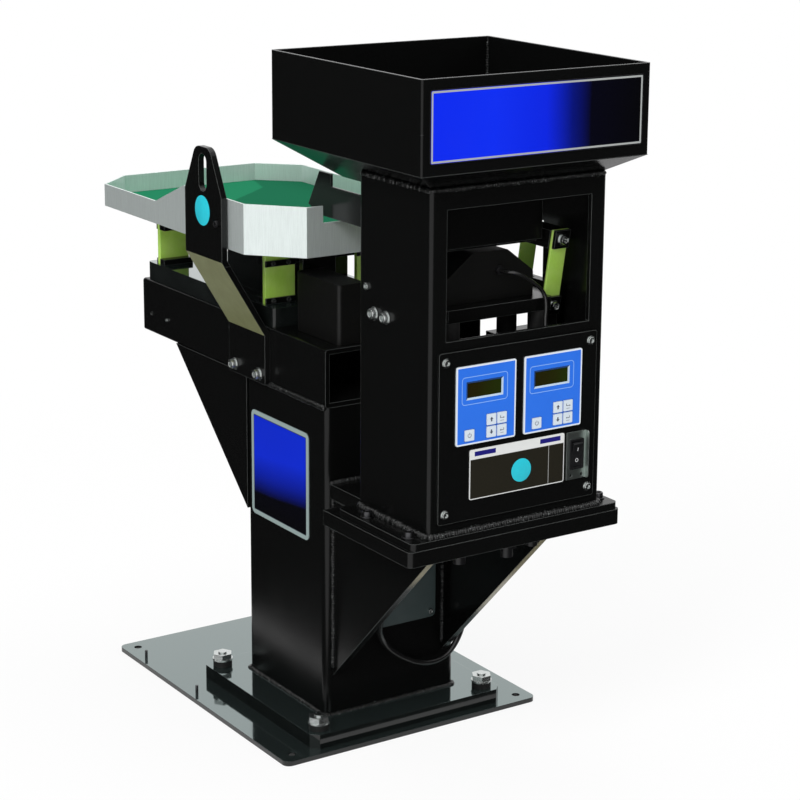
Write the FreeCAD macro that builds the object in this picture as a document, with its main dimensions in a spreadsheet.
import FreeCAD, Part
import math
import os
import re

from FreeCAD import Vector

# Flexible parts feeder on a pedestal.
# Millimetres. +X runs to the right along the control panel, -Y is the side of the panel,
# +Z is up. The origin is the centre of the base plate's underside.

doc = FreeCAD.newDocument("parts_feeder")
sheet = doc.addObject("Spreadsheet::Sheet", "Sizes")

SIZES = {
    # Base plate
    "base_width": 394, "base_depth": 474, "base_thickness": 6.35, "base_round": 10,
    "base_hole_inset": 20, "base_hole_bore": 11,
    "pin_bore": 4, "pin_height": 10, "pin_inset": 13, "pin_rear_y": 177, "pin_front_y": 26,
    # Foot of the column
    "column_y": -75, "foot_width": 298, "foot_thickness": 19.05, "foot_chamfer": 10,
    "stud_spacing": 257, "stud_bore": 12, "stud_tip": 2, "stud_clearance": 0.5,
    "bush_bore": 26, "bush_height": 8, "washer_bore": 28, "washer_thickness": 2.5,
    "nut_across": 24, "nut_height": 7,
    # Column and the beam on top of it
    "column_width": 203.2, "column_wall": 6.35, "column_round": 10,
    "beam_bottom": 443.8, "beam_height": 76.2, "beam_wall": 6.35, "beam_rear_y": 326,
    "beam_round": 4,
    "gusset_thickness": 9.5, "rear_gusset_reach": 201, "rear_gusset_drop": 188,
    "front_gusset_reach": 243, "front_gusset_spacing": 171,
    "cover_width": 136, "cover_height": 150, "cover_bottom": 132, "cover_thickness": 3,
    "cover_round": 7,
    "emblem_width": 148, "emblem_height": 145, "emblem_bottom": 255, "emblem_front_y": -136,
    "emblem_thickness": 1, "emblem_round": 8,
    # Plates that carry the tower
    "head_width": 314, "head_thickness": 19.05, "head_bottom": 324, "head_front_y": -455,
    "head_rear_y": -262, "head_round": 8, "neck_width": 190,
    "shoe_width": 306, "shoe_depth": 165, "shoe_thickness": 9.5, "shoe_round": 8,
    "tower_bolt_spacing_x": 282, "tower_bolt_rear_y": -338, "tower_bolt_front_y": -429,
    "tower_bolt_bore": 8, "tower_bolt_head": 13,
    # Tower
    "tower_width": 254, "tower_depth": 152.4, "tower_wall": 6.35, "tower_round": 6,
    "tower_y": -372, "tower_height": 414.5,
    "window_width": 208, "window_bottom": 588, "window_top": 743,
    "rear_window_bottom": 585, "panel_opening_width": 196, "panel_opening_height": 196,
    "notch_y": -332, "notch_left": 48, "notch_low": 530, "notch_low_top": 580,
    "notch_high": 616, "notch_high_top": 690,
    # Control panel
    "panel_width": 230, "panel_height": 208, "panel_bottom": 368, "panel_thickness": 3,
    "panel_screw_inset_x": 9.5, "panel_screw_inset_z": 12, "panel_screw_head": 10,
    "panel_screw_bore": 6,
    "keypad_width": 85.5, "keypad_height": 95.5, "keypad_bottom": 461.5,
    "keypad_gap": 12.5, "keypad_thickness": 2, "keypad_round": 2.5,
    "display_left": 14, "display_bottom": 54.5, "display_width": 53, "display_height": 22,
    "display_depth": 1.2,
    "key_width": 13.6, "key_height": 13.6, "key_rise": 0.8, "key_gap": 0.35,
    "key_left": 18.8, "key_right": 57.8, "key_low": 11.6, "key_pitch": 15.2,
    "key_well": 3.5, "key_back_gap": 1,
    "module_depth": 38, "module_inset": 4,
    "label_width": 139.5, "label_height": 61.5, "label_left": -71, "label_bottom": 392.5,
    "label_thickness": 1, "label_round": 2.5,
    "guard_left": 72.3, "guard_width": 29.5, "guard_height": 60, "guard_bottom": 393,
    "guard_thickness": 1.5, "guard_lip": 8, "guard_round": 4, "guard_hole_bore": 4,
    "guard_hole_spacing": 16, "guard_hole_rise": 5,
    "switch_x": 86.5, "switch_z": 425, "switch_width": 21, "switch_height": 38,
    "switch_body_width": 18.6, "switch_body_height": 35.6, "switch_rise": 2, "switch_depth": 24,
    "rocker_width": 14, "rocker_radius": 15.6, "rocker_tilt": 8, "rocker_crown": 22.6,
    "rocker_gap": 0.35, "rocker_sink": 0.3, "rocker_back": 6.5, "trunnion_bore": 3,
    "trunnion_length": 1, "trunnion_clearance": 0.04,
    # Hopper
    "hopper_width": 324, "hopper_depth": 330, "hopper_front_y": -480, "hopper_bottom": 22.95,
    "hopper_height": 109, "sheet": 3,
    "throat_width": 124, "throat_rear_y": -155, "funnel_clearance": 0.05,
    "badge_width": 302, "badge_height": 84, "badge_bottom": 13, "badge_thickness": 1,
    "badge_round": 3,
    # Hopper drive and trough
    "shelf_top": 554, "shelf_thickness": 6, "shelf_bolt_bore": 8, "shelf_bolt_head": 14,
    "shelf_bolt_rear_y": -331, "shelf_bolt_front_y": -357, "shelf_bolt_z": 602,
    "shelf_front_y": -412, "shelf_rear_y": -311, "shelf_rail": 26, "shelf_tab": 33,
    "shelf_reach": 70,
    "mount_bore": 25, "mount_height": 44, "mount_spacing_x": 130, "mount_spacing_y": 64,
    "plinth_width": 156, "plinth_thickness": 16, "plinth_front_y": -410, "plinth_rear_y": -322,
    "trough_width": 150, "trough_bottom": 682, "trough_front_y": -390, "trough_lip_y": -92,
    "trough_toe": 28, "trough_toe_rise": 10,
    "trough_top": 738, "trough_low_top": 722, "trough_step_y": -147, "trough_lean": 27,
    "trough_front_top": 732, "trough_front_step_y": -308,
    "leaf_width": 24, "leaf_thickness": 4, "leaf_centre_x": 91, "leaf_lean": 20,
    "leaf_bottom": 586, "leaf_height": 108, "leaf_front_y": -385, "leaf_rear_y": -326,
    "ear_left": 77.75, "carrier_thickness": 6, "carrier_front_y": -374, "carrier_rear_y": -355,
    "grip_height": 23, "grip_thickness": 5, "grip_head": 11, "grip_head_height": 6,
    "coil_width": 128, "coil_depth": 44, "coil_height": 60, "coil_y": -366, "coil_round": 6,
    "coil_crown": 50, "coil_shoulder": 30,
    # Table drive
    "table_base_width": 196, "table_base_front_y": -40, "table_base_rear_y": 317,
    "table_base_height": 26, "core_width": 120, "core_front_y": 30, "core_rear_y": 150,
    "core_height": 64,
    "table_coil_width": 150, "table_coil_front_y": -165, "table_coil_rear_y": -60,
    "table_coil_height": 78, "table_coil_low": 20, "table_coil_bend": 42,
    "table_coil_slope_x": -35, "table_coil_bend_x": 20,
    "table_coil_round": 6, "table_leaf_width": 46, "table_leaf_thickness": 7,
    "table_leaf_centre_x": 71, "table_leaf_gap": 2,
    "table_leaf_front_y": -9, "table_leaf_rear_y": 290,
    "frame_thickness": 12, "frame_bar": 14, "frame_bar_height": 24,
    "frame_rear_y": 312, "armature_x": 12, "armature_width": 50, "armature_thickness": 9, "armature_gap": 4,
    "armature_drop": 55, "table_grip_height": 8, "table_grip_thickness": 2.5,
    "table_grip_head": 6, "table_grip_head_height": 2,
    # Tray
    "tray_width": 324, "tray_front_y": -140, "tray_rear_y": 370, "tray_bottom": 632,
    "tray_wall": 2.5, "tray_floor": 3, "tray_low_top": 663, "tray_high_top": 697,
    "tray_step_low_y": 165, "tray_step_high_y": 82, "tray_side_front_y": -78,
    "tray_side_rear_y": 320, "tray_front_width": 212, "tray_rear_width": 216,
    "notch_width": 164, "notch_bottom": 675, "mat_thickness": 3, "mat_clearance": 1,
    # Sensor brackets
    "bracket_thickness": 8, "bracket_plate_x": 2, "bracket_foot_x": 0,
    "bracket_y": 10.5, "bracket_width": 98, "bracket_foot_width": 96,
    "bracket_foot_bottom": 444, "bracket_foot_top": 513, "bracket_plate_bottom": 617,
    "bracket_shoulder": 699, "bracket_top": 759, "bracket_tip_width": 38, "bracket_round": 17,
    "slot_width": 21, "slot_bottom": 701, "slot_top": 750, "bracket_bolt_spacing": 65,
    "bracket_bolt_z": 456, "bracket_bolt_head": 14, "bracket_bolt_bore": 8,
    "bracket_bolt_rise": 7, "stop_screw_y": -27, "stop_screw_z": 664,
    "stop_screw_bore": 5, "stop_screw_head": 9, "stop_screw_rise": 4,
    # Cables
    "cord_bore": 8, "thin_cord_bore": 5, "gland_across": 22, "gland_height": 8,
    "gland_nose_bore": 15, "gland_nose": 12,
    "coil_lead_x": 12, "coil_lead_z": 650, "module_lead_x": 56, "module_lead_y": -428,
}
for row, (alias, size) in enumerate(SIZES.items(), 1):
    sheet.set("A%d" % row, alias)
    sheet.set("B%d" % row, str(size))
    sheet.setAlias("B%d" % row, alias)
doc.recompute()

ALIAS = re.compile("|".join(r"\b%s\b" % name for name in sorted(SIZES, key=len, reverse=True)))


def formula(text):
    """The expression text, with every size named from the sheet."""
    return ALIAS.sub(lambda found: "Sizes." + found.group(0), str(text))


def bind(item, prop, text):
    """Tie a property of an object to the sheet."""
    item.setExpression(prop, formula(text))


def size(alias):
    """The number that the sheet holds."""
    return float(sheet.get(alias))


# Places that several pieces share
COLUMN_FRONT = "(column_y - column_width / 2)"
COLUMN_REAR = "(column_y + column_width / 2)"
FOOT_TOP = "(base_thickness + foot_thickness)"
BEAM_TOP = "(beam_bottom + beam_height)"
HEAD_TOP = "(head_bottom + head_thickness)"
SHOE_TOP = "(head_bottom + head_thickness + shoe_thickness)"
TOWER_FRONT = "(tower_y - tower_depth / 2)"
TOWER_REAR = "(tower_y + tower_depth / 2)"
TOWER_TOP = "(%s + tower_height)" % SHOE_TOP
PANEL_FRONT = "(%s - panel_thickness)" % TOWER_FRONT
KEYPAD_FRONT = "(%s - keypad_thickness)" % PANEL_FRONT
HOPPER_REAR = "(hopper_front_y + hopper_depth)"
HOPPER_BOTTOM = "(%s + hopper_bottom)" % TOWER_TOP
HOPPER_TOP = "(%s + hopper_height)" % HOPPER_BOTTOM
BADGE_BOTTOM = "(%s + badge_bottom)" % HOPPER_BOTTOM
PLINTH_BOTTOM = "(shelf_top + mount_height)"
PLINTH_TOP = "(shelf_top + mount_height + plinth_thickness)"
TABLE_TOP = "(beam_bottom + beam_height + table_base_height)"

nodes = {}


def keep(name, item):
    """Name an object as a sub-part."""
    item.Label = name
    nodes[name] = item
    return item


def origin_plane(body, role):
    for feature in body.Origin.OriginFeatures:
        if feature.Role == role:
            return feature
    raise ValueError(role)


def add_sketch(body, role, offset, loops):
    """A fully bound sketch on an origin plane. A loop is a list of corner pairs or a circle."""
    sketch = body.newObject("Sketcher::SketchObject", body.Name + "_sketch")
    sketch.AttachmentSupport = [(origin_plane(body, role), "")]
    sketch.MapMode = "FlatFace"
    bind(sketch, "AttachmentOffset.Base.z", offset)
    import Sketcher
    for loop in loops:
        if isinstance(loop, tuple):
            across, up, radius = loop
            number = sketch.addGeometry(Part.Circle(Vector(0, 0, 0), Vector(0, 0, 1), 1.0))
            for kind, text in (("DistanceX", across), ("DistanceY", up)):
                place = sketch.addConstraint(Sketcher.Constraint(kind, -1, 1, number, 3, 1.0))
                bind(sketch, "Constraints[%d]" % place, text)
            place = sketch.addConstraint(Sketcher.Constraint("Radius", number, 1.0))
            bind(sketch, "Constraints[%d]" % place, radius)
            continue
        count = len(loop)
        turn = 2 * math.pi / count
        ring = [Vector(math.cos(turn * k), math.sin(turn * k), 0) for k in range(count)]
        first = None
        for k in range(count):
            line = Part.LineSegment(ring[k], ring[(k + 1) % count])
            number = sketch.addGeometry(line)
            first = number if first is None else first
        for k in range(count):
            after = first + (k + 1) % count
            sketch.addConstraint(Sketcher.Constraint("Coincident", first + k, 2, after, 1))
        for k, (across, up) in enumerate(loop):
            for kind, text in (("DistanceX", across), ("DistanceY", up)):
                place = sketch.addConstraint(Sketcher.Constraint(kind, -1, 1, first + k, 1, 1.0))
                bind(sketch, "Constraints[%d]" % place, text)
    return sketch


def rectangle(left, right, bottom, top):
    return [(left, bottom), (right, bottom), (right, top), (left, top)]


def centred(width, bottom, top):
    return rectangle("-(%s) / 2" % width, "(%s) / 2" % width, bottom, top)


def new_body(name):
    return doc.addObject("PartDesign::Body", name)


def pad(body, role, offset, length, loops, backwards=False):
    """Grow a solid from a sketch. Offsets run along the plane's normal."""
    sketch = add_sketch(body, role, offset, loops)
    feature = body.newObject("PartDesign::Pad", body.Name + "_pad")
    feature.Profile = sketch
    bind(feature, "Length", length)
    feature.Reversed = backwards
    return feature


def pocket(body, role, offset, length, loops, backwards=False, through=False):
    """Cut a sketch out of a body and make sure that something was cut."""
    doc.recompute()
    before = body.Shape.Volume
    sketch = add_sketch(body, role, offset, loops)
    feature = body.newObject("PartDesign::Pocket", body.Name + "_pocket")
    feature.Profile = sketch
    feature.Reversed = backwards
    if through:
        feature.Type = "ThroughAll"
        feature.Midplane = True
    else:
        bind(feature, "Length", length)
    doc.recompute()
    if body.Shape.Volume > before - 1e-6:
        raise ValueError("nothing cut from " + body.Name)
    return feature


def edges_along(shape, axis, test):
    """Names of the straight edges that run along an axis and pass a test of their middle."""
    found = []
    for number, edge in enumerate(shape.Edges, 1):
        if not isinstance(edge.Curve, Part.Line):
            continue
        if abs(abs(edge.Curve.Direction.dot(axis)) - 1) > 1e-6:
            continue
        middle = edge.valueAt((edge.FirstParameter + edge.LastParameter) / 2)
        if test(middle):
            found.append("Edge%d" % number)
    return found


def dress(body, kind, axis, amount, test=lambda middle: True):
    """Round or chamfer the edges of a body that run along an axis."""
    doc.recompute()
    base = body.Tip
    names = edges_along(base.Shape, axis, test)
    feature = body.newObject("PartDesign::" + kind, body.Name + "_" + kind.lower())
    feature.Base = (base, names)
    bind(feature, "Radius" if kind == "Fillet" else "Size", amount)
    return feature


X, Y, Z = Vector(1, 0, 0), Vector(0, 1, 0), Vector(0, 0, 1)
FACING = {"X": (Y, 90), "-Y": (X, 90), "Y": (X, -90), "Z": (Z, 0), "-Z": (X, 180), "-X": (Y, -90)}


def place(item, corner, facing="Z"):
    """Put an object at a bound point, its own axis facing a named way."""
    axis, angle = FACING[facing]
    item.Placement = FreeCAD.Placement(Vector(0, 0, 0), FreeCAD.Rotation(axis, angle))
    for letter, text in zip("xyz", corner):
        bind(item, "Placement.Base." + letter, text)
    return item


def block(name, corner, across, deep, high):
    item = doc.addObject("Part::Box", name)
    for prop, text in (("Length", across), ("Width", deep), ("Height", high)):
        bind(item, prop, text)
    return place(item, corner)


def rod(name, corner, bore, length, facing="Z"):
    item = doc.addObject("Part::Cylinder", name)
    bind(item, "Radius", "(%s) / 2" % bore)
    bind(item, "Height", length)
    return place(item, corner, facing)


def hexagon(name, corner, across, length, facing="Z"):
    item = doc.addObject("Part::Prism", name)
    item.Polygon = 6
    bind(item, "Circumradius", "(%s) / 2 / cos(30)" % across)
    bind(item, "Height", length)
    return place(item, corner, facing)


def cut(name, base, tool):
    item = doc.addObject("Part::Cut", name)
    item.Base = base
    item.Tool = tool
    return item


def fuse(name, items):
    item = doc.addObject("Part::MultiFuse", name)
    item.Shapes = items
    return item


def group(name, items):
    """Separate solids that share one sub-part."""
    item = doc.addObject("Part::Compound", name)
    item.Links = items
    return item


def mirrored(name, item, normal=X):
    other = doc.addObject("Part::Mirroring", name)
    other.Source = item
    other.Normal = normal
    return other


def solid_feature(name, shape):
    """A sub-part whose shape is worked out below from the sheet's sizes."""
    item = doc.addObject("Part::Feature", name)
    item.Shape = shape
    item.Placement = FreeCAD.Placement()
    return keep(name, item)


SIDES = ("-1", "1")


# Base plate with its four floor holes
base = new_body("base_plate")
pad(base, "XY_Plane", 0, "base_thickness",
    [centred("base_width", "-base_depth / 2", "base_depth / 2")])
dress(base, "Fillet", Z, "base_round")
pocket(base, "XY_Plane", "base_thickness", 0,
       [("%s * (base_width / 2 - base_hole_inset)" % sx, "%s * (base_depth / 2 - base_hole_inset)" % sy,
         "base_hole_bore / 2") for sx in SIDES for sy in SIDES], through=True)
keep("base_plate", base)

keep("locating_pins", group("locating_pins", [
    rod("pin_" + tag, ("pin_inset - base_width / 2", where, "base_thickness"), "pin_bore", "pin_height")
    for tag, where in (("rear", "pin_rear_y"), ("front", "pin_front_y"))]))

# Foot flange, bolted through rubber bushes to the base plate
foot = new_body("foot_flange")
pad(foot, "XY_Plane", "base_thickness", "foot_thickness",
    [centred("foot_width", "column_y - foot_width / 2", "column_y + foot_width / 2")])
dress(foot, "Chamfer", Z, "foot_chamfer")
STUD_PLACES = [("%s * stud_spacing / 2" % sx, "column_y + %s * stud_spacing / 2" % sy)
               for sx in SIDES for sy in SIDES]
pocket(foot, "XY_Plane", FOOT_TOP, 0,
       [(x, y, "stud_bore / 2 + stud_clearance") for x, y in STUD_PLACES], through=True)
keep("foot_flange", foot)


def ring(name, x, y, bottom, outer, height):
    body = rod(name + "_body", (x, y, bottom), outer, height)
    hole = rod(name + "_hole", (x, y, bottom), "stud_bore + 2 * stud_clearance", height)
    return cut(name, body, hole)


BUSH_TOP = "%s + bush_height" % FOOT_TOP
WASHER_TOP = BUSH_TOP + " + washer_thickness"
NUT_TOP = WASHER_TOP + " + nut_height"
bushes, nuts, studs = [], [], []
for number, (x, y) in enumerate(STUD_PLACES, 1):
    bushes.append(ring("bush%d" % number, x, y, FOOT_TOP, "bush_bore", "bush_height"))
    nuts.append(ring("washer%d" % number, x, y, BUSH_TOP, "washer_bore", "washer_thickness"))
    nut = hexagon("nut_body%d" % number, (x, y, WASHER_TOP), "nut_across", "nut_height")
    hole = rod("nut_hole%d" % number, (x, y, WASHER_TOP), "stud_bore", "nut_height")
    nuts.append(cut("nut%d" % number, nut, hole))
    studs.append(rod("stud%d" % number, (x, y, "base_thickness"), "stud_bore",
                     "%s + stud_tip - base_thickness" % NUT_TOP))
keep("anchor_bushes", group("anchor_bushes", bushes))
keep("anchor_nuts_and_washers", group("anchor_nuts_and_washers", nuts))
keep("anchor_studs", group("anchor_studs", studs))

# Square column
column = new_body("column_tube")
pad(column, "XY_Plane", FOOT_TOP, "beam_bottom - %s" % FOOT_TOP,
    [centred("column_width", COLUMN_FRONT, COLUMN_REAR)])
dress(column, "Fillet", Z, "column_round")
pocket(column, "XY_Plane", FOOT_TOP, 0,
       [centred("column_width - 2 * column_wall", COLUMN_FRONT + " + column_wall",
                COLUMN_REAR + " - column_wall")], through=True)
keep("column_tube", column)

# Hollow beam that carries the table drive
beam = new_body("table_beam")
pad(beam, "XZ_Plane", "-beam_rear_y", "beam_rear_y - %s" % COLUMN_FRONT,
    [centred("column_width", "beam_bottom", BEAM_TOP)])
dress(beam, "Fillet", Y, "beam_round")
pocket(beam, "XZ_Plane", 0, 0,
       [centred("column_width - 2 * beam_wall", "beam_bottom + beam_wall", BEAM_TOP + " - beam_wall")],
       through=True)
keep("table_beam", beam)

# Triangular gussets behind and in front of the column
rear = new_body("rear_gusset_left")
pad(rear, "YZ_Plane", "-column_width / 2", "gusset_thickness",
    [[(COLUMN_REAR, "beam_bottom"), (COLUMN_REAR, "beam_bottom - rear_gusset_drop"),
      (COLUMN_REAR + " + rear_gusset_reach", "beam_bottom")]])
keep("rear_gussets", group("rear_gussets", [rear, mirrored("rear_gusset_right", rear)]))

front = new_body("front_gusset_left")
pad(front, "YZ_Plane", "-front_gusset_spacing / 2 - gusset_thickness / 2", "gusset_thickness",
    [[(COLUMN_FRONT, "head_bottom"), (COLUMN_FRONT + " - front_gusset_reach", "head_bottom"),
      (COLUMN_FRONT, "head_bottom - front_gusset_reach")]])
keep("front_gussets", group("front_gussets", [front, mirrored("front_gusset_right", front)]))

# Wiring cover on the front of the column and the emblem plate on its side
cover = new_body("wiring_cover")
pad(cover, "XZ_Plane", "-" + COLUMN_FRONT, "cover_thickness",
    [centred("cover_width", "cover_bottom", "cover_bottom + cover_height")])
dress(cover, "Fillet", Y, "cover_round")
keep("wiring_cover", cover)

emblem = new_body("emblem_plate")
pad(emblem, "YZ_Plane", "-column_width / 2 - emblem_thickness", "emblem_thickness",
    [rectangle("emblem_front_y", "emblem_front_y + emblem_width", "emblem_bottom",
               "emblem_bottom + emblem_height")])
dress(emblem, "Fillet", X, "emblem_round")
keep("emblem_plate", emblem)

# Head plate with its neck, and the shoe plate of the tower
head = new_body("head_plate")
pad(head, "XY_Plane", "head_bottom", "head_thickness",
    [centred("head_width", "head_front_y", "head_rear_y")])
dress(head, "Fillet", Z, "head_round", lambda p: p.y < size("head_rear_y") - 1)
pad(head, "XY_Plane", "head_bottom", "head_thickness",
    [centred("neck_width", "head_rear_y - head_round", COLUMN_FRONT)])
BOLT_PLACES = [("%s * tower_bolt_spacing_x / 2" % sx, y) for sx in SIDES
               for y in ("tower_bolt_rear_y", "tower_bolt_front_y")]
pocket(head, "XY_Plane", HEAD_TOP, 0,
       [(x, y, "tower_bolt_bore / 2") for x, y in BOLT_PLACES], through=True)
keep("head_plate", head)

SHOE_FRONT = "head_front_y"
shoe = new_body("tower_shoe")
pad(shoe, "XY_Plane", HEAD_TOP, "shoe_thickness",
    [centred("shoe_width", SHOE_FRONT, SHOE_FRONT + " + shoe_depth")])
dress(shoe, "Fillet", Z, "shoe_round")
pocket(shoe, "XY_Plane", SHOE_TOP, 0,
       [(x, y, "tower_bolt_bore / 2") for x, y in BOLT_PLACES], through=True)
keep("tower_shoe", shoe)


def cap_screw(name, corner, facing, head, height, bore, shank, socket="0.5"):
    """Round head with a hexagon socket, on a shank that points the other way."""
    letter = facing[-1].lower()
    sign = "-" if facing.startswith("-") else ""
    reach = {"x": (0, 1, 2), "y": (1, 0, 2), "z": (2, 0, 1)}[letter][0]
    inner = list(corner)
    inner[reach] = "%s - (%s1) * (%s)" % (corner[reach], sign, shank)
    mouth = list(corner)
    mouth[reach] = "%s + (%s1) * (%s) / 2" % (corner[reach], sign, height)
    top = rod(name + "_head", corner, head, height, facing)
    well = hexagon(name + "_socket", mouth, "(%s) * %s" % (head, socket), height, facing)
    stem = rod(name + "_shank", inner, bore, shank, facing)
    return fuse(name, [cut(name + "_top", top, well), stem])


keep("tower_bolts", group("tower_bolts", [
    cap_screw("tower_bolt%d" % k, (x, y, SHOE_TOP), "Z", "tower_bolt_head", "tower_bolt_bore",
              "tower_bolt_bore - 0.2", "head_thickness + shoe_thickness")
    for k, (x, y) in enumerate(BOLT_PLACES, 1)]))

# Tower: a rectangular tube with a window each way and an opening behind the panel
tower = new_body("tower_shell")
pad(tower, "XY_Plane", SHOE_TOP, "tower_height", [centred("tower_width", TOWER_FRONT, TOWER_REAR)])
dress(tower, "Fillet", Z, "tower_round")
pocket(tower, "XY_Plane", SHOE_TOP, 0,
       [centred("tower_width - 2 * tower_wall", TOWER_FRONT + " + tower_wall",
                TOWER_REAR + " - tower_wall")], through=True)
pocket(tower, "XZ_Plane", "-%s" % TOWER_FRONT, "2 * tower_wall",
       [centred("window_width", "window_bottom", "window_top"),
        centred("panel_opening_width", "panel_bottom + (panel_height - panel_opening_height) / 2",
                "panel_bottom + (panel_height + panel_opening_height) / 2")])
pocket(tower, "XZ_Plane", "-%s" % TOWER_REAR, "2 * tower_wall",
       [centred("tower_width - 2 * tower_wall", "rear_window_bottom", TOWER_TOP + " + tower_wall")],
       backwards=True)
# The rear corner on the right is cut away above and below the shelf bolts
for left, low, high in (("notch_left", "notch_low", "notch_low_top"),
                        ("tower_width / 2 - 2 * tower_wall", "notch_high", "notch_high_top")):
    pocket(tower, "XY_Plane", high, "%s - %s" % (high, low),
           [rectangle(left, "tower_width / 2 + tower_wall", "notch_y", TOWER_REAR + " + tower_wall")])
keep("tower_shell", tower)

# Shelf in the tower: a rail on each side wall with two tabs under the rubber mounts
SHELF_SLACK = "0.3"
SHELF_EDGE = "(tower_width / 2 - tower_wall - %s)" % SHELF_SLACK
shelf = new_body("shelf_rail_right")
pad(shelf, "XY_Plane", "shelf_top - shelf_thickness", "shelf_thickness",
    [rectangle(SHELF_EDGE + " - shelf_rail", SHELF_EDGE, "shelf_front_y", "shelf_rear_y")])
for low, high in (("shelf_front_y", "shelf_front_y + shelf_tab"), ("shelf_rear_y - shelf_tab", "shelf_rear_y")):
    pad(shelf, "XY_Plane", "shelf_top - shelf_thickness", "shelf_thickness",
        [rectangle(SHELF_EDGE + " - shelf_reach", SHELF_EDGE + " - shelf_rail / 2", low, high)])
pad(shelf, "XY_Plane", "shelf_top - shelf_thickness", "shelf_bolt_z + shelf_bolt_head - shelf_top + shelf_thickness",
    [rectangle(SHELF_EDGE + " - shelf_thickness", SHELF_EDGE, "shelf_bolt_front_y - shelf_bolt_head",
               "shelf_bolt_rear_y + shelf_bolt_head")])

keep("shelf_bolts", group("shelf_bolts", [
    cap_screw("shelf_bolt%d%d" % (i, j), ("%s * tower_width / 2" % sx, y, "shelf_bolt_z"), facing,
              "shelf_bolt_head", "shelf_bolt_bore", "shelf_bolt_bore - 0.2", "tower_wall - 0.05")
    for i, (sx, facing) in enumerate((("-1", "-X"), ("1", "X")))
    for j, y in enumerate(("shelf_bolt_rear_y", "shelf_bolt_front_y"))]))

PLINTH_Y = "(plinth_front_y + plinth_rear_y) / 2"
keep("rubber_mounts", group("rubber_mounts", [
    rod("mount%d%d" % (i, j), ("%s * mount_spacing_x / 2" % sx, "%s + %s * mount_spacing_y / 2" % (PLINTH_Y, sy),
                               "shelf_top"), "mount_bore", "mount_height")
    for i, sx in enumerate(SIDES) for j, sy in enumerate(SIDES)]))

plinth = new_body("hopper_drive_plinth")
pad(plinth, "XY_Plane", PLINTH_BOTTOM, "plinth_thickness",
    [centred("plinth_width", "plinth_front_y", "plinth_rear_y")])
dress(plinth, "Chamfer", Z, "3")

# Shelf bolts pass through the tower's side walls and the shelf's flanges
SHELF_BOLTS = [(y, "shelf_bolt_z", "shelf_bolt_bore / 2") for y in ("shelf_bolt_rear_y", "shelf_bolt_front_y")]
pocket(tower, "YZ_Plane", 0, 0, SHELF_BOLTS, through=True)
pocket(shelf, "YZ_Plane", SHELF_EDGE, "2 * shelf_thickness", SHELF_BOLTS)
keep("drive_shelf", group("drive_shelf", [shelf, mirrored("shelf_rail_left", shelf)]))

# Hopper springs: four leaves that lean away from the discharge end
LEAF_LEFT = "(leaf_centre_x - leaf_width / 2)"
ROWS = (("front", "leaf_front_y"), ("rear", "leaf_rear_y"))


def leaning(name, row, low, high, near, far, left=None, across=None):
    """A prism that follows the lean of a spring, between two heights above its lower end."""
    corners = []
    for height, offset in ((low, near), (low, far), (high, far), (high, near)):
        corners.append(("%s - leaf_lean * (%s) / leaf_height + (%s)" % (row, height, offset),
                        "leaf_bottom + (%s)" % height))
    item = new_body(name)
    pad(item, "YZ_Plane", left or LEAF_LEFT, across or "leaf_width", [corners])
    return item


def ears(body, low, high):
    """Blocks on both sides of a body that fill the space between the springs."""
    corners = []
    for height, row, offset in ((low, "leaf_front_y", "leaf_thickness / 2"), (low, "leaf_rear_y", "-leaf_thickness / 2"),
                                (high, "leaf_rear_y", "-leaf_thickness / 2"), (high, "leaf_front_y", "leaf_thickness / 2")):
        corners.append(("%s - leaf_lean * (%s) / leaf_height + %s" % (row, height, offset),
                        "leaf_bottom + (%s)" % height))
    width = "(leaf_centre_x + leaf_width / 2 - ear_left)"
    for start in ("ear_left", "-ear_left - " + width):
        pad(body, "YZ_Plane", start, width, [corners])


ears(plinth, "0", "grip_height")
keep("hopper_drive_plinth", plinth)


def both_sides(name, items):
    """A row of pieces on the right and its mirror image on the left."""
    return group(name, items + [mirrored(item.Name + "_left", item) for item in items])


keep("hopper_springs", both_sides("hopper_springs", [
    leaning("leaf_" + tag, row, "0", "leaf_height", "-leaf_thickness / 2", "leaf_thickness / 2")
    for tag, row in ROWS]))


def grip(name, row, low, way):
    """Clamping plate on the outer face of a spring, with its screw. The way is -1 in front and 1 behind."""
    sign = "(%s)" % way
    plate = leaning(name + "_plate", row, low, "%s + grip_height" % low, "%s * leaf_thickness / 2" % sign,
                    "%s * (leaf_thickness / 2 + grip_thickness)" % sign, LEAF_LEFT + " + 1", "leaf_width - 2")
    middle = "(%s + grip_height / 2)" % low
    face = "%s - leaf_lean * %s / leaf_height + %s * (leaf_thickness / 2 + grip_thickness - 1.5)" % (row, middle, sign)
    facing = "-Y" if way == "-1" else "Y"
    spot = ("leaf_centre_x", face, "leaf_bottom + %s" % middle)
    head = rod(name + "_head", spot, "grip_head", "grip_head_height + 1.5", facing)
    mouth = (spot[0], "%s + %s * (grip_head_height / 2 + 1.5)" % (face, sign), spot[2])
    socket = hexagon(name + "_socket", mouth, "grip_head / 2", "grip_head_height", facing)
    return cut(name, fuse(name + "_solid", [plate, head]), socket)


WAYS = (("front", "leaf_front_y", "-1"), ("rear", "leaf_rear_y", "1"))
keep("hopper_lower_clamps", both_sides("hopper_lower_clamps", [
    grip("lower_grip_" + tag, row, "0", way) for tag, row, way in WAYS]))
keep("hopper_upper_clamps", both_sides("hopper_upper_clamps", [
    grip("upper_grip_" + tag, row, "leaf_height - grip_height", way) for tag, row, way in WAYS]))

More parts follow.
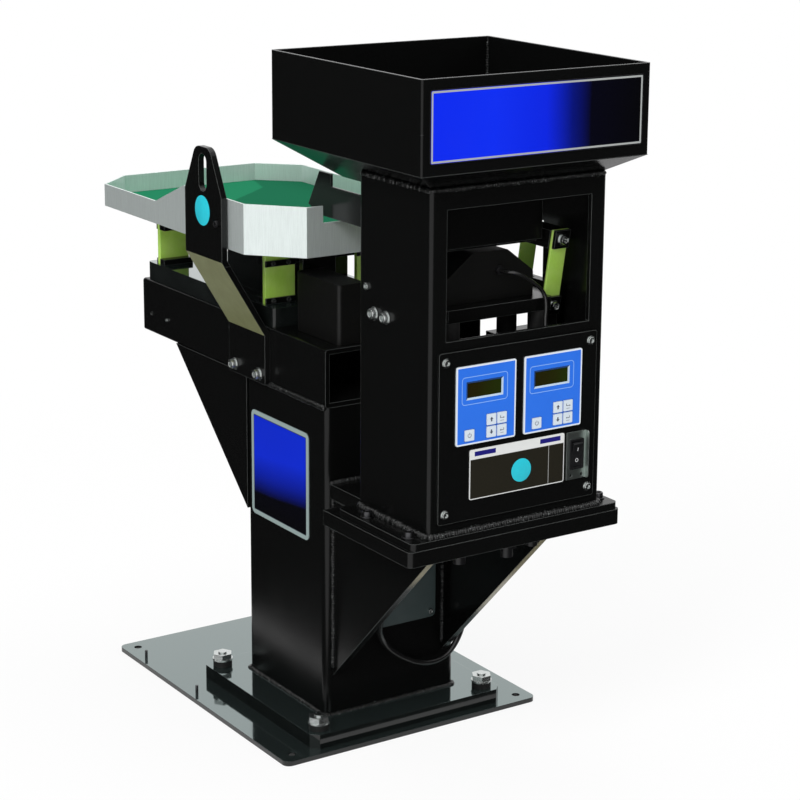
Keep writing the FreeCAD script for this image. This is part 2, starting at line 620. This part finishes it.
# Coil of the hopper drive: a potted body with sloping shoulders
COIL_TOP = "(%s + coil_height)" % PLINTH_TOP
coil = new_body("hopper_coil")
pad(coil, "XZ_Plane", "-coil_y - coil_depth / 2", "coil_depth",
    [[("-coil_width / 2", PLINTH_TOP), ("coil_width / 2", PLINTH_TOP),
      ("coil_width / 2", COIL_TOP + " - coil_shoulder"), ("coil_crown / 2", COIL_TOP),
      ("-coil_crown / 2", COIL_TOP), ("-coil_width / 2", COIL_TOP + " - coil_shoulder")]])
dress(coil, "Fillet", Y, "coil_round", lambda p: p.z > size("leaf_bottom") + size("leaf_height") / 2)
keep("hopper_coil", coil)

# Carrier under the trough: a plate and two bars that are bolted to the springs
carrier = new_body("trough_carrier")
pad(carrier, "XY_Plane", "trough_bottom - carrier_thickness", "carrier_thickness",
    [centred("2 * ear_left + 2", "carrier_front_y", "carrier_rear_y")])
ears(carrier, "leaf_height - grip_height", "leaf_height")
keep("trough_carrier", carrier)

# Trough: folded sheet, closed behind and open at its sloping lip
TOE_Y = "(trough_lip_y - trough_toe)"
trough = new_body("trough")
pad(trough, "YZ_Plane", "-trough_width / 2", "trough_width",
    [[("trough_front_y", "trough_bottom"), (TOE_Y, "trough_bottom"),
      ("trough_lip_y", "trough_bottom + trough_toe_rise"), ("trough_lip_y - trough_lean", "trough_top"),
      ("trough_step_y", "trough_top"), ("trough_step_y", "trough_low_top"),
      ("trough_front_step_y", "trough_low_top"), ("trough_front_step_y", "trough_front_top"),
      ("trough_front_y", "trough_front_top")]])
pocket(trough, "YZ_Plane", "trough_width / 2 - sheet", "trough_width - 2 * sheet",
       [[("trough_front_y + sheet", "trough_bottom + sheet"), (TOE_Y, "trough_bottom + sheet"),
         ("trough_lip_y + trough_toe", "trough_bottom + sheet + 2 * trough_toe_rise"),
         ("trough_lip_y + trough_toe", "trough_top + sheet"),
         ("trough_front_y + sheet", "trough_top + sheet")]])
keep("trough", trough)

# Hopper bin: four walls, open above and below
hopper = new_body("hopper_bin")
pad(hopper, "XY_Plane", HOPPER_BOTTOM, "hopper_height",
    [centred("hopper_width", "hopper_front_y", HOPPER_REAR)])
dress(hopper, "Fillet", Z, "sheet")
pocket(hopper, "XY_Plane", HOPPER_TOP, 0,
       [centred("hopper_width - 2 * sheet", "hopper_front_y + sheet", HOPPER_REAR + " - sheet")],
       through=True)
keep("hopper_bin", hopper)

# Funnel: its sloping walls rest inside the top edges of the tower
RUN_X = "((hopper_width / 2 - tower_width / 2 + tower_wall + funnel_clearance) / hopper_bottom)"
RUN_Y = "((%s + tower_wall + funnel_clearance - hopper_front_y) / hopper_bottom)" % TOWER_FRONT
FUNNEL_HEIGHT = "((hopper_width - throat_width) / 2 / %s)" % RUN_X
THROAT_BOTTOM = "(%s - %s)" % (HOPPER_BOTTOM, FUNNEL_HEIGHT)
THROAT_FRONT = "(hopper_front_y + %s * %s)" % (RUN_Y, FUNNEL_HEIGHT)


def loft(body, kind, levels):
    """A straight-sided loft between two rectangles at two heights."""
    sections = [add_sketch(body, "XY_Plane", height, [loop]) for height, loop in levels]
    feature = body.newObject("PartDesign::" + kind, body.Name + "_loft")
    feature.Profile = sections[0]
    feature.Sections = [sections[1]]
    feature.Ruled = True
    return feature


funnel = new_body("hopper_funnel")
loft(funnel, "AdditiveLoft", [
    (HOPPER_BOTTOM, centred("hopper_width", "hopper_front_y", HOPPER_REAR)),
    (THROAT_BOTTOM, centred("throat_width", THROAT_FRONT, "throat_rear_y"))])
doc.recompute()
full = funnel.Shape.Volume
WALL_X = "sheet * sqrt(1 + %s^2)" % RUN_X
WALL_Y = "sheet * sqrt(1 + %s^2)" % RUN_Y
loft(funnel, "SubtractiveLoft", [
    (HOPPER_BOTTOM, centred("hopper_width - 2 * %s" % WALL_X, "hopper_front_y + %s" % WALL_Y,
                              HOPPER_REAR + " - sheet")),
    (THROAT_BOTTOM, centred("throat_width - 2 * %s" % WALL_X, THROAT_FRONT + " + " + WALL_Y,
                            "throat_rear_y - sheet"))])
doc.recompute()
if funnel.Shape.Volume > full - 1e-6:
    raise ValueError("the funnel is not hollow")
keep("hopper_funnel", funnel)

badge = new_body("hopper_badge")
pad(badge, "XZ_Plane", "-hopper_front_y", "badge_thickness",
    [centred("badge_width", BADGE_BOTTOM, BADGE_BOTTOM + " + badge_height")])
dress(badge, "Fillet", Y, "badge_round")
keep("hopper_badge", badge)

# Two pulse controllers: a keypad in front of the panel and a module behind it
PADS = (("left", "(-keypad_gap / 2 - keypad_width)"), ("right", "(keypad_gap / 2)"))
KEYS = (("power", "key_left", "key_low"),
        ("up", "key_right - key_pitch / 2", "key_low + key_pitch"),
        ("mode", "key_right + key_pitch / 2", "key_low + key_pitch"),
        ("down", "key_right - key_pitch / 2", "key_low"),
        ("enter", "key_right + key_pitch / 2", "key_low"))
PANEL_PLANE = "-" + PANEL_FRONT
KEYPAD_PLANE = "-" + KEYPAD_FRONT


def around(middle_x, middle_z, width, height, extra="0"):
    """A rectangle about its centre, wider by an extra on each side."""
    return rectangle("%s - (%s) / 2 - %s" % (middle_x, width, extra),
                     "%s + (%s) / 2 + %s" % (middle_x, width, extra),
                     "%s - (%s) / 2 - %s" % (middle_z, height, extra),
                     "%s + (%s) / 2 + %s" % (middle_z, height, extra))


openings = []
screens = []
for side, left in PADS:
    centre_x = "(%s + keypad_width / 2)" % left
    centre_z = "(keypad_bottom + keypad_height / 2)"
    openings.append(around(centre_x, centre_z, "keypad_width - 2 * module_inset",
                           "keypad_height - 2 * module_inset", "key_gap"))
    unit = new_body("controller_" + side)
    pad(unit, "XZ_Plane", PANEL_PLANE, "keypad_thickness",
        [around(centre_x, centre_z, "keypad_width", "keypad_height")])
    dress(unit, "Fillet", Y, "keypad_round")
    pad(unit, "XZ_Plane", PANEL_PLANE, "module_depth",
        [around(centre_x, centre_z, "keypad_width - 2 * module_inset", "keypad_height - 2 * module_inset")],
        backwards=True)
    wells = []
    for label, across, up in KEYS:
        key_x = "(%s + %s)" % (left, across)
        key_z = "(keypad_bottom + %s)" % up
        wells.append(around(key_x, key_z, "key_width", "key_height", "key_gap"))
        key = new_body("key_%s_%s" % (side, label))
        pad(key, "XZ_Plane", "-(%s - key_rise)" % KEYPAD_FRONT, "key_rise + key_well - key_back_gap",
            [around(key_x, key_z, "key_width", "key_height")], backwards=True)
        dress(key, "Fillet", Y, "key_gap * 3")
        keep("key_%s_%s" % (side, label), key)
    pocket(unit, "XZ_Plane", KEYPAD_PLANE, "key_well", wells)
    screen_x = "(%s + display_left)" % left
    screen_z = "(keypad_bottom + display_bottom)"
    pocket(unit, "XZ_Plane", KEYPAD_PLANE, "display_depth",
           [rectangle(screen_x, screen_x + " + display_width", screen_z, screen_z + " + display_height")])
    screens.append(block("screen_" + side, (screen_x, KEYPAD_FRONT, screen_z),
                         "display_width", "display_depth", "display_height"))
    keep("controller_" + side, unit)
keep("displays", group("displays", screens))

# Control panel
PANEL_SCREWS = [("%s * (panel_width / 2 - panel_screw_inset_x)" % sx, z) for sx in SIDES for z in
                ("panel_bottom + panel_screw_inset_z", "panel_bottom + panel_height - panel_screw_inset_z")]
panel = new_body("control_panel")
pad(panel, "XZ_Plane", "-" + TOWER_FRONT, "panel_thickness",
    [centred("panel_width", "panel_bottom", "panel_bottom + panel_height")])
dress(panel, "Fillet", Y, "panel_thickness")
pocket(panel, "XZ_Plane", PANEL_PLANE, "2 * panel_thickness",
       openings + [(x, z, "panel_screw_bore / 2") for x, z in PANEL_SCREWS] +
       [around("switch_x", "switch_z", "switch_body_width", "switch_body_height", "rocker_gap")])
keep("control_panel", panel)
keep("panel_screws", group("panel_screws", [
    cap_screw("panel_screw%d" % k, (x, PANEL_FRONT, z), "-Y", "panel_screw_head", "panel_screw_bore / 2",
              "panel_screw_bore - 0.2", "panel_thickness") for k, (x, z) in enumerate(PANEL_SCREWS)]))

plate = new_body("function_label")
pad(plate, "XZ_Plane", PANEL_PLANE, "label_thickness",
    [rectangle("label_left", "label_left + label_width", "label_bottom", "label_bottom + label_height")])
dress(plate, "Fillet", Y, "label_round")
keep("function_label", plate)

# Power switch: a formed guard, a housing and a rocker
GUARD_RIGHT = "(guard_left + guard_width)"
GUARD_FRONT = "(%s - guard_thickness)" % PANEL_FRONT
GUARD_MIDDLE = "(guard_left + guard_width / 2)"
guard = new_body("switch_guard")
pad(guard, "XY_Plane", "guard_bottom", "guard_height",
    [[("guard_left", PANEL_FRONT), ("guard_left", GUARD_FRONT),
      (GUARD_RIGHT + " - guard_thickness", GUARD_FRONT),
      (GUARD_RIGHT + " - guard_thickness", PANEL_FRONT + " - guard_lip"),
      (GUARD_RIGHT, PANEL_FRONT + " - guard_lip"), (GUARD_RIGHT, PANEL_FRONT)]])
dress(guard, "Fillet", X, "guard_round", lambda p: p.x > size("guard_left") + size("guard_width") - 3
      and p.y < size("tower_y") - size("tower_depth") / 2 - size("panel_thickness") - size("guard_lip") + 0.1)
pocket(guard, "XZ_Plane", "-" + GUARD_FRONT, "2 * guard_thickness",
       [around("switch_x", "switch_z", "switch_body_width", "switch_body_height", "rocker_gap")] +
       [("%s + %s * guard_hole_spacing / 2" % (GUARD_MIDDLE, sx), "guard_bottom + guard_hole_rise",
         "guard_hole_bore / 2") for sx in SIDES])
keep("switch_guard", guard)

SWITCH_FRONT = "(%s - switch_rise)" % GUARD_FRONT
HINGE_Y = "(%s + rocker_radius * sin(rocker_crown - rocker_tilt) + rocker_sink)" % SWITCH_FRONT
housing = new_body("switch_housing")
pad(housing, "XZ_Plane", "-" + GUARD_FRONT, "switch_rise",
    [around("switch_x", "switch_z", "switch_width", "switch_height")])
dress(housing, "Fillet", Y, "switch_rise")
pad(housing, "XZ_Plane", "-" + GUARD_FRONT, "switch_depth",
    [around("switch_x", "switch_z", "switch_body_width", "switch_body_height")], backwards=True)
pocket(housing, "XZ_Plane", "-" + SWITCH_FRONT, "switch_rise + 2 * rocker_back",
       [around("switch_x", "switch_z", "rocker_width", "2 * rocker_radius", "rocker_gap")])
PIN_HALF = "(rocker_width / 2 + trunnion_length + trunnion_clearance)"
pocket(housing, "YZ_Plane", "switch_x + " + PIN_HALF, "2 * " + PIN_HALF,
       [(HINGE_Y, "switch_z", "trunnion_bore / 2 + trunnion_clearance")])
keep("switch_housing", housing)

# The rocker stands with its lower half pressed in; its ends follow a circle about the hinge
OUTLINE = [("rocker_radius * (sin(rocker_crown) - cos(rocker_crown) * tan(rocker_tilt))", "0")]
END = [("rocker_radius * sin(%s)" % turn, "rocker_radius * cos(%s)" % turn)
       for turn in ("rocker_crown", "rocker_crown / 2", "0", "-rocker_crown / 2")]
END.append(("-rocker_back", "rocker_radius / 2.5"))
OUTLINE += END + [(out, "-(%s)" % up) for out, up in reversed(END)]
rocker = new_body("power_rocker")
pad(rocker, "YZ_Plane", "switch_x - rocker_width / 2", "rocker_width",
    [[("%s - ((%s) * cos(rocker_tilt) + (%s) * sin(rocker_tilt))" % (HINGE_Y, out, up),
       "switch_z - (%s) * sin(rocker_tilt) + (%s) * cos(rocker_tilt)" % (out, up))
      for out, up in OUTLINE]])
pad(rocker, "YZ_Plane", "switch_x - rocker_width / 2 - trunnion_length",
    "rocker_width + 2 * trunnion_length", [(HINGE_Y, "switch_z", "trunnion_bore / 2")])
keep("power_rocker", rocker)

# Table drive: base casting, coil housing and four upright leaf springs
table = new_body("table_drive_base")
pad(table, "XY_Plane", BEAM_TOP, "table_base_height",
    [centred("table_base_width", "table_base_front_y", "table_base_rear_y")])
dress(table, "Fillet", Z, "table_coil_round")
pad(table, "XY_Plane", TABLE_TOP, "core_height", [centred("core_width", "core_front_y", "core_rear_y")])
keep("table_drive_base", table)

magnet = new_body("table_coil")
pad(magnet, "XZ_Plane", "-table_coil_rear_y", "table_coil_rear_y - table_coil_front_y",
    [[("-table_coil_width / 2", BEAM_TOP), ("table_coil_width / 2", BEAM_TOP),
      ("table_coil_width / 2", BEAM_TOP + " + table_coil_low"),
      ("table_coil_bend_x", BEAM_TOP + " + table_coil_bend"),
      ("table_coil_slope_x", BEAM_TOP + " + table_coil_height"),
      ("-table_coil_width / 2", BEAM_TOP + " + table_coil_height")]])
dress(magnet, "Fillet", Z, "table_coil_round")
keep("table_coil", magnet)

FRAME_BOTTOM = "(tray_bottom - frame_thickness)"
BAR_BOTTOM = "(%s - frame_bar_height)" % FRAME_BOTTOM
SPRING_HEIGHT = "(%s - table_leaf_gap - %s)" % (FRAME_BOTTOM, TABLE_TOP)
TABLE_ROWS = (("front", "table_leaf_front_y", "-1"), ("rear", "table_leaf_rear_y", "1"))
SPRING_LEFT = "(table_leaf_centre_x - table_leaf_width / 2)"


def beside(row, way, near, far):
    """The low and high Y of a slab that lies between two distances from a row of springs."""
    low, high = (near, far) if way == "1" else ("-(%s)" % far, "-(%s)" % near)
    return "(%s + %s)" % (row, low), "(%s + %s)" % (row, high)


HALF_LEAF = "table_leaf_thickness / 2"
INWARD = {"-1": "1", "1": "-1"}
springs, low_grips, high_grips = [], [], []
for tag, row, way in TABLE_ROWS:
    springs.append(block("table_leaf_" + tag, (SPRING_LEFT, "%s - %s" % (row, HALF_LEAF), TABLE_TOP),
                         "table_leaf_width", "table_leaf_thickness", SPRING_HEIGHT))
    near, far = beside(row, INWARD[way], HALF_LEAF, HALF_LEAF + " + frame_bar - 2")
    low_grips.append(block("table_back_" + tag, (SPRING_LEFT, near, TABLE_TOP), "table_leaf_width",
                           "%s - %s" % (far, near), "table_grip_height"))
    near, far = beside(row, way, HALF_LEAF, HALF_LEAF + " + table_grip_thickness")
    face, facing = (near, "-Y") if way == "-1" else (far, "Y")
    for level, bottom, found in (("low", TABLE_TOP, low_grips), ("high", BAR_BOTTOM, high_grips)):
        name = "table_%s_%s" % (level, tag)
        slab = block(name + "_plate", (SPRING_LEFT, near, bottom), "table_leaf_width",
                     "table_grip_thickness", "table_grip_height")
        heads, sockets = [], []
        for k, sx in enumerate(SIDES):
            spot = ("table_leaf_centre_x + %s * table_leaf_width / 4" % sx,
                    "%s - (%s1) * 1" % (face, "-" if way == "-1" else ""),
                    "%s + table_grip_height / 2" % bottom)
            mouth = (spot[0], "%s + (%s1) * table_grip_head_height / 2" % (face, "-" if way == "-1" else ""),
                     spot[2])
            heads.append(rod("%s_head%d" % (name, k), spot, "table_grip_head",
                             "table_grip_head_height + 1", facing))
            sockets.append(hexagon("%s_socket%d" % (name, k), mouth, "table_grip_head / 2",
                                   "table_grip_head_height", facing))
        found.append(cut(name, fuse(name + "_solid", [slab] + heads), fuse(name + "_sockets", sockets)))
keep("table_springs", both_sides("table_springs", springs))
keep("table_lower_clamps", both_sides("table_lower_clamps", low_grips))
keep("table_upper_clamps", both_sides("table_upper_clamps", high_grips))

# Moving frame of the table, with the armature that faces the coil
FRAME_WIDTH = "(2 * table_leaf_centre_x + table_leaf_width)"
ARMATURE_FRONT = "(table_coil_rear_y + armature_gap)"
frame = new_body("table_frame")
pad(frame, "XY_Plane", FRAME_BOTTOM, "frame_thickness",
    [centred(FRAME_WIDTH, "table_leaf_front_y - table_leaf_width / 2", "frame_rear_y")])
pad(frame, "XY_Plane", FRAME_BOTTOM, "frame_thickness",
    [rectangle("-armature_x - armature_width", "-armature_x", ARMATURE_FRONT, "table_leaf_front_y")])
for tag, row, way in TABLE_ROWS:
    near, far = beside(row, INWARD[way], HALF_LEAF, HALF_LEAF + " + frame_bar")
    pad(frame, "XY_Plane", BAR_BOTTOM, "frame_bar_height + frame_thickness / 2",
        [centred(FRAME_WIDTH, near, far)])
pad(frame, "XY_Plane", FRAME_BOTTOM + " - armature_drop", "armature_drop + frame_thickness / 2",
    [rectangle("-armature_x - armature_width", "-armature_x", ARMATURE_FRONT,
               ARMATURE_FRONT + " + armature_thickness")])
keep("table_frame", frame)

# Tray: an eight-sided sheet pan with a lower rim behind and a notch for the trough
TRAY_HALF = "(tray_width / 2)"


def octagon(inset):
    """The tray's outline, moved inwards by a distance."""
    corners = []
    for side_y, end_y, end_width, sign in (
            ("tray_side_rear_y", "tray_rear_y", "tray_rear_width", "1"),
            ("tray_side_front_y", "tray_front_y", "tray_front_width", "-1")):
        run = "(%s - %s / 2)" % (TRAY_HALF, end_width)
        rise = "(%s * (%s - %s))" % (sign, end_y, side_y)
        long = "sqrt(%s^2 + %s^2)" % (run, rise)
        side = "%s - %s * (%s) * (%s - %s) / %s" % (side_y, sign, inset, long, rise, run)
        end = "%s / 2 - (%s) * (%s - %s) / %s" % (end_width, inset, long, run, rise)
        corners.append((("%s - (%s)" % (TRAY_HALF, inset), side),
                        (end, "%s - %s * (%s)" % (end_y, sign, inset))))
    (rear_side, rear_end), (front_side, front_end) = corners
    right = [front_end, front_side, rear_side, rear_end]
    return right + [("-(%s)" % x, y) for x, y in reversed(right)]


tray = new_body("tray")
pad(tray, "XY_Plane", "tray_bottom", "tray_high_top - tray_bottom", [octagon("0")])
pocket(tray, "XY_Plane", "tray_high_top", "tray_high_top - tray_bottom - tray_floor",
       [octagon("tray_wall")])
pocket(tray, "YZ_Plane", "tray_width", "2 * tray_width",
       [[("tray_step_low_y", "tray_low_top"), ("tray_rear_y + tray_wall", "tray_low_top"),
         ("tray_rear_y + tray_wall", "tray_high_top + tray_wall"),
         ("tray_step_high_y - tray_wall", "tray_high_top + tray_wall"),
         ("tray_step_high_y", "tray_high_top")]])
pocket(tray, "XZ_Plane", "-(tray_front_y - tray_wall)", "5 * tray_wall",
       [centred("notch_width", "notch_bottom", "tray_high_top + tray_wall")])
keep("tray", tray)

mat = new_body("tray_mat")
pad(mat, "XY_Plane", "tray_bottom + tray_floor", "mat_thickness",
    [octagon("tray_wall + mat_clearance")])
keep("tray_mat", mat)

# Sensor brackets: a foot on the beam, a slope outwards and a slotted plate
INNER_FOOT = "(column_width / 2 + bracket_foot_x)"
INNER_PLATE = "(tray_width / 2 + bracket_plate_x)"
OUTER_FOOT = "(%s + bracket_thickness)" % INNER_FOOT
OUTER_PLATE = "(%s + bracket_thickness)" % INNER_PLATE
SHIFT = ("(bracket_thickness * tan(atan((%s - %s) / "
         "(bracket_plate_bottom - bracket_foot_top)) / 2))" % (OUTER_PLATE, OUTER_FOOT))
NEAR = "(bracket_y - bracket_width / 2)"
FAR = "(bracket_y + bracket_width / 2)"
bracket = new_body("sensor_bracket_left")
pad(bracket, "XZ_Plane", "-" + FAR, "bracket_width",
    [[("-" + INNER_FOOT, "bracket_foot_bottom"), ("-" + INNER_FOOT, "bracket_foot_top"),
      ("-" + INNER_PLATE, "bracket_plate_bottom"), ("-" + INNER_PLATE, "bracket_top"),
      ("-" + OUTER_PLATE, "bracket_top"), ("-" + OUTER_PLATE, "bracket_plate_bottom - " + SHIFT),
      ("-" + OUTER_FOOT, "bracket_foot_top - " + SHIFT), ("-" + OUTER_FOOT, "bracket_foot_bottom")]])
EXTRA = "bracket_thickness"
corners = []
for edge, sign in ((NEAR, "-1"), (FAR, "1")):
    out = "%s + %s * %s" % (edge, sign, EXTRA)
    tip = "bracket_y + %s * bracket_tip_width / 2" % sign
    neck = "bracket_y + %s * bracket_foot_width / 2" % sign
    corners.append([(out, "bracket_shoulder"), (edge, "bracket_shoulder"), (tip, "bracket_top"),
                    (tip, "bracket_top + " + EXTRA), (out, "bracket_top + " + EXTRA)])
    corners.append([(out, "bracket_foot_bottom - " + EXTRA), (neck, "bracket_foot_bottom - " + EXTRA),
                    (neck, "bracket_plate_bottom - %s" % EXTRA), (out, "bracket_plate_bottom - %s" % EXTRA)])
pocket(bracket, "YZ_Plane", 0, "2 * " + OUTER_PLATE, corners)
dress(bracket, "Fillet", X, "bracket_round", lambda p: p.z > size("bracket_top") - 1)
SLOT = [rectangle("bracket_y - slot_width / 2", "bracket_y + slot_width / 2", "slot_bottom", "slot_top")]
pocket(bracket, "YZ_Plane", 0, "2 * " + OUTER_PLATE, SLOT)
dress(bracket, "Fillet", X, "slot_width / 2 - 0.01", lambda p: abs(p.y - size("bracket_y")) < 0.6 * size("slot_width")
      and p.z > size("slot_bottom") - 1 and p.z < size("slot_top") + 1)
BRACKET_BOLTS = [("bracket_y + %s * bracket_bolt_spacing / 2" % sy, "bracket_bolt_z") for sy in SIDES]
pocket(bracket, "YZ_Plane", 0, "2 * " + OUTER_PLATE,
       [(y, z, "bracket_bolt_bore / 2") for y, z in BRACKET_BOLTS] +
       [("stop_screw_y", "stop_screw_z", "stop_screw_bore / 2")])
keep("sensor_brackets", group("sensor_brackets", [bracket, mirrored("sensor_bracket_right", bracket)]))
bolts = [cap_screw("bracket_bolt%d" % k, (OUTER_FOOT, y, z), "X", "bracket_bolt_head",
                   "bracket_bolt_rise", "bracket_bolt_bore - 0.2", "bracket_thickness")
         for k, (y, z) in enumerate(BRACKET_BOLTS)]
bolts.append(cap_screw("stop_screw", (OUTER_PLATE, "stop_screw_y", "stop_screw_z"), "X",
                       "stop_screw_head", "stop_screw_rise", "stop_screw_bore - 0.2", "bracket_thickness"))
keep("bracket_bolts", both_sides("bracket_bolts", bolts))

# Cable glands: five under the head plate, one on the coil and one on the controller
GLANDS = ((-30, -290), (115, -285), (0, -432), (-63, -422), (50, -415))
glands = []
for k, (x, y) in enumerate(GLANDS):
    nut = hexagon("gland_nut%d" % k, (x, y, "head_bottom"), "gland_across", "gland_height", "-Z")
    nose = rod("gland_nose%d" % k, (x, y, "head_bottom"), "gland_nose_bore",
               "gland_height + gland_nose", "-Z")
    glands.append(fuse("gland%d" % k, [nut, nose]))
glands.append(hexagon("coil_gland", ("coil_lead_x", "coil_y - coil_depth / 2", "coil_lead_z"),
                      "2 * thin_cord_bore", "thin_cord_bore", "-Y"))
glands.append(hexagon("module_gland", ("module_lead_x", "module_lead_y",
                                       "keypad_bottom + keypad_height - module_inset"),
                      "2 * thin_cord_bore", "thin_cord_bore", "Z"))
keep("cable_glands", group("cable_glands", glands))


def cord(points, bore):
    """A round cord along straight runs joined by tangent arcs."""
    points = [Vector(*point) for point in points]
    edges = []
    start = points[0]
    for before, corner, after in zip(points, points[1:], points[2:]):
        back = before - corner
        ahead = after - corner
        run = min(back.Length, ahead.Length)
        back.normalize()
        ahead.normalize()
        turn = math.pi - back.getAngle(ahead)
        radius = 0.45 * run / math.tan(turn / 2)
        print("cord radius", round(radius, 1), "turn", round(math.degrees(turn), 1))
        enter = corner + back * 0.45 * run
        leave = corner + ahead * 0.45 * run
        inward = back + ahead
        inward.normalize()
        middle = corner + inward * (radius / math.cos(turn / 2) - radius)
        edges.append(Part.LineSegment(start, enter).toShape())
        edges.append(Part.Arc(enter, middle, leave).toShape())
        start = leave
    edges.append(Part.LineSegment(start, points[-1]).toShape())
    path = Part.Wire(edges)
    way = points[1] - points[0]
    section = Part.Wire([Part.makeCircle(bore / 2, points[0], way)])
    tube = path.makePipeShell([section], True, True)
    if not tube.isValid() or abs(tube.Volume / (math.pi * bore ** 2 / 4 * path.Length) - 1) > 0.01:
        raise ValueError("bad cord")
    print("cord length", round(path.Length, 1))
    return tube


# The loop of cable hangs from the head plate and passes under the front gussets
LOOP = [(-30, -290, 304), (-30, -290, 276), (-38, -270, 240), (-47, -238, 190), (-40, -206, 145),
        (-22, -192, 114), (8, -189, 88), (42, -188, 71), (76, -188, 71), (98, -191, 94), (104, -200, 136),
        (108, -222, 182), (114, -256, 226), (115, -285, 270), (115, -285, 304)]
# A thin lead leaves the coil in front, passes the springs and drops to the controller's module
COIL_LEAD = [(12, -393, 650), (12, -403, 650), (21, -411, 650), (44, -414, 637), (61, -416, 622),
             (63, -418, 605), (57, -423, 588), (56, -428, 572), (56, -428, 558)]
solid_feature("cables", Part.makeCompound([cord(LOOP, size("cord_bore")),
                                           cord(COIL_LEAD, size("thin_cord_bore"))]))

doc.recompute()
faults = [item.Name for item in doc.Objects if "Invalid" in item.State or "Error" in item.State]
if faults:
    raise ValueError("failed objects: " + ", ".join(faults))
os.makedirs("parts", exist_ok=True)
for name, item in nodes.items():
    if item.Shape.isNull() or not item.Shape.isValid():
        raise ValueError("bad shape: " + name)
for name, item in nodes.items():
    item.Shape.exportStep("parts/%s.step" % name)
    print(name, len(item.Shape.Solids), round(item.Shape.Volume, 1), item.Shape.BoundBox)
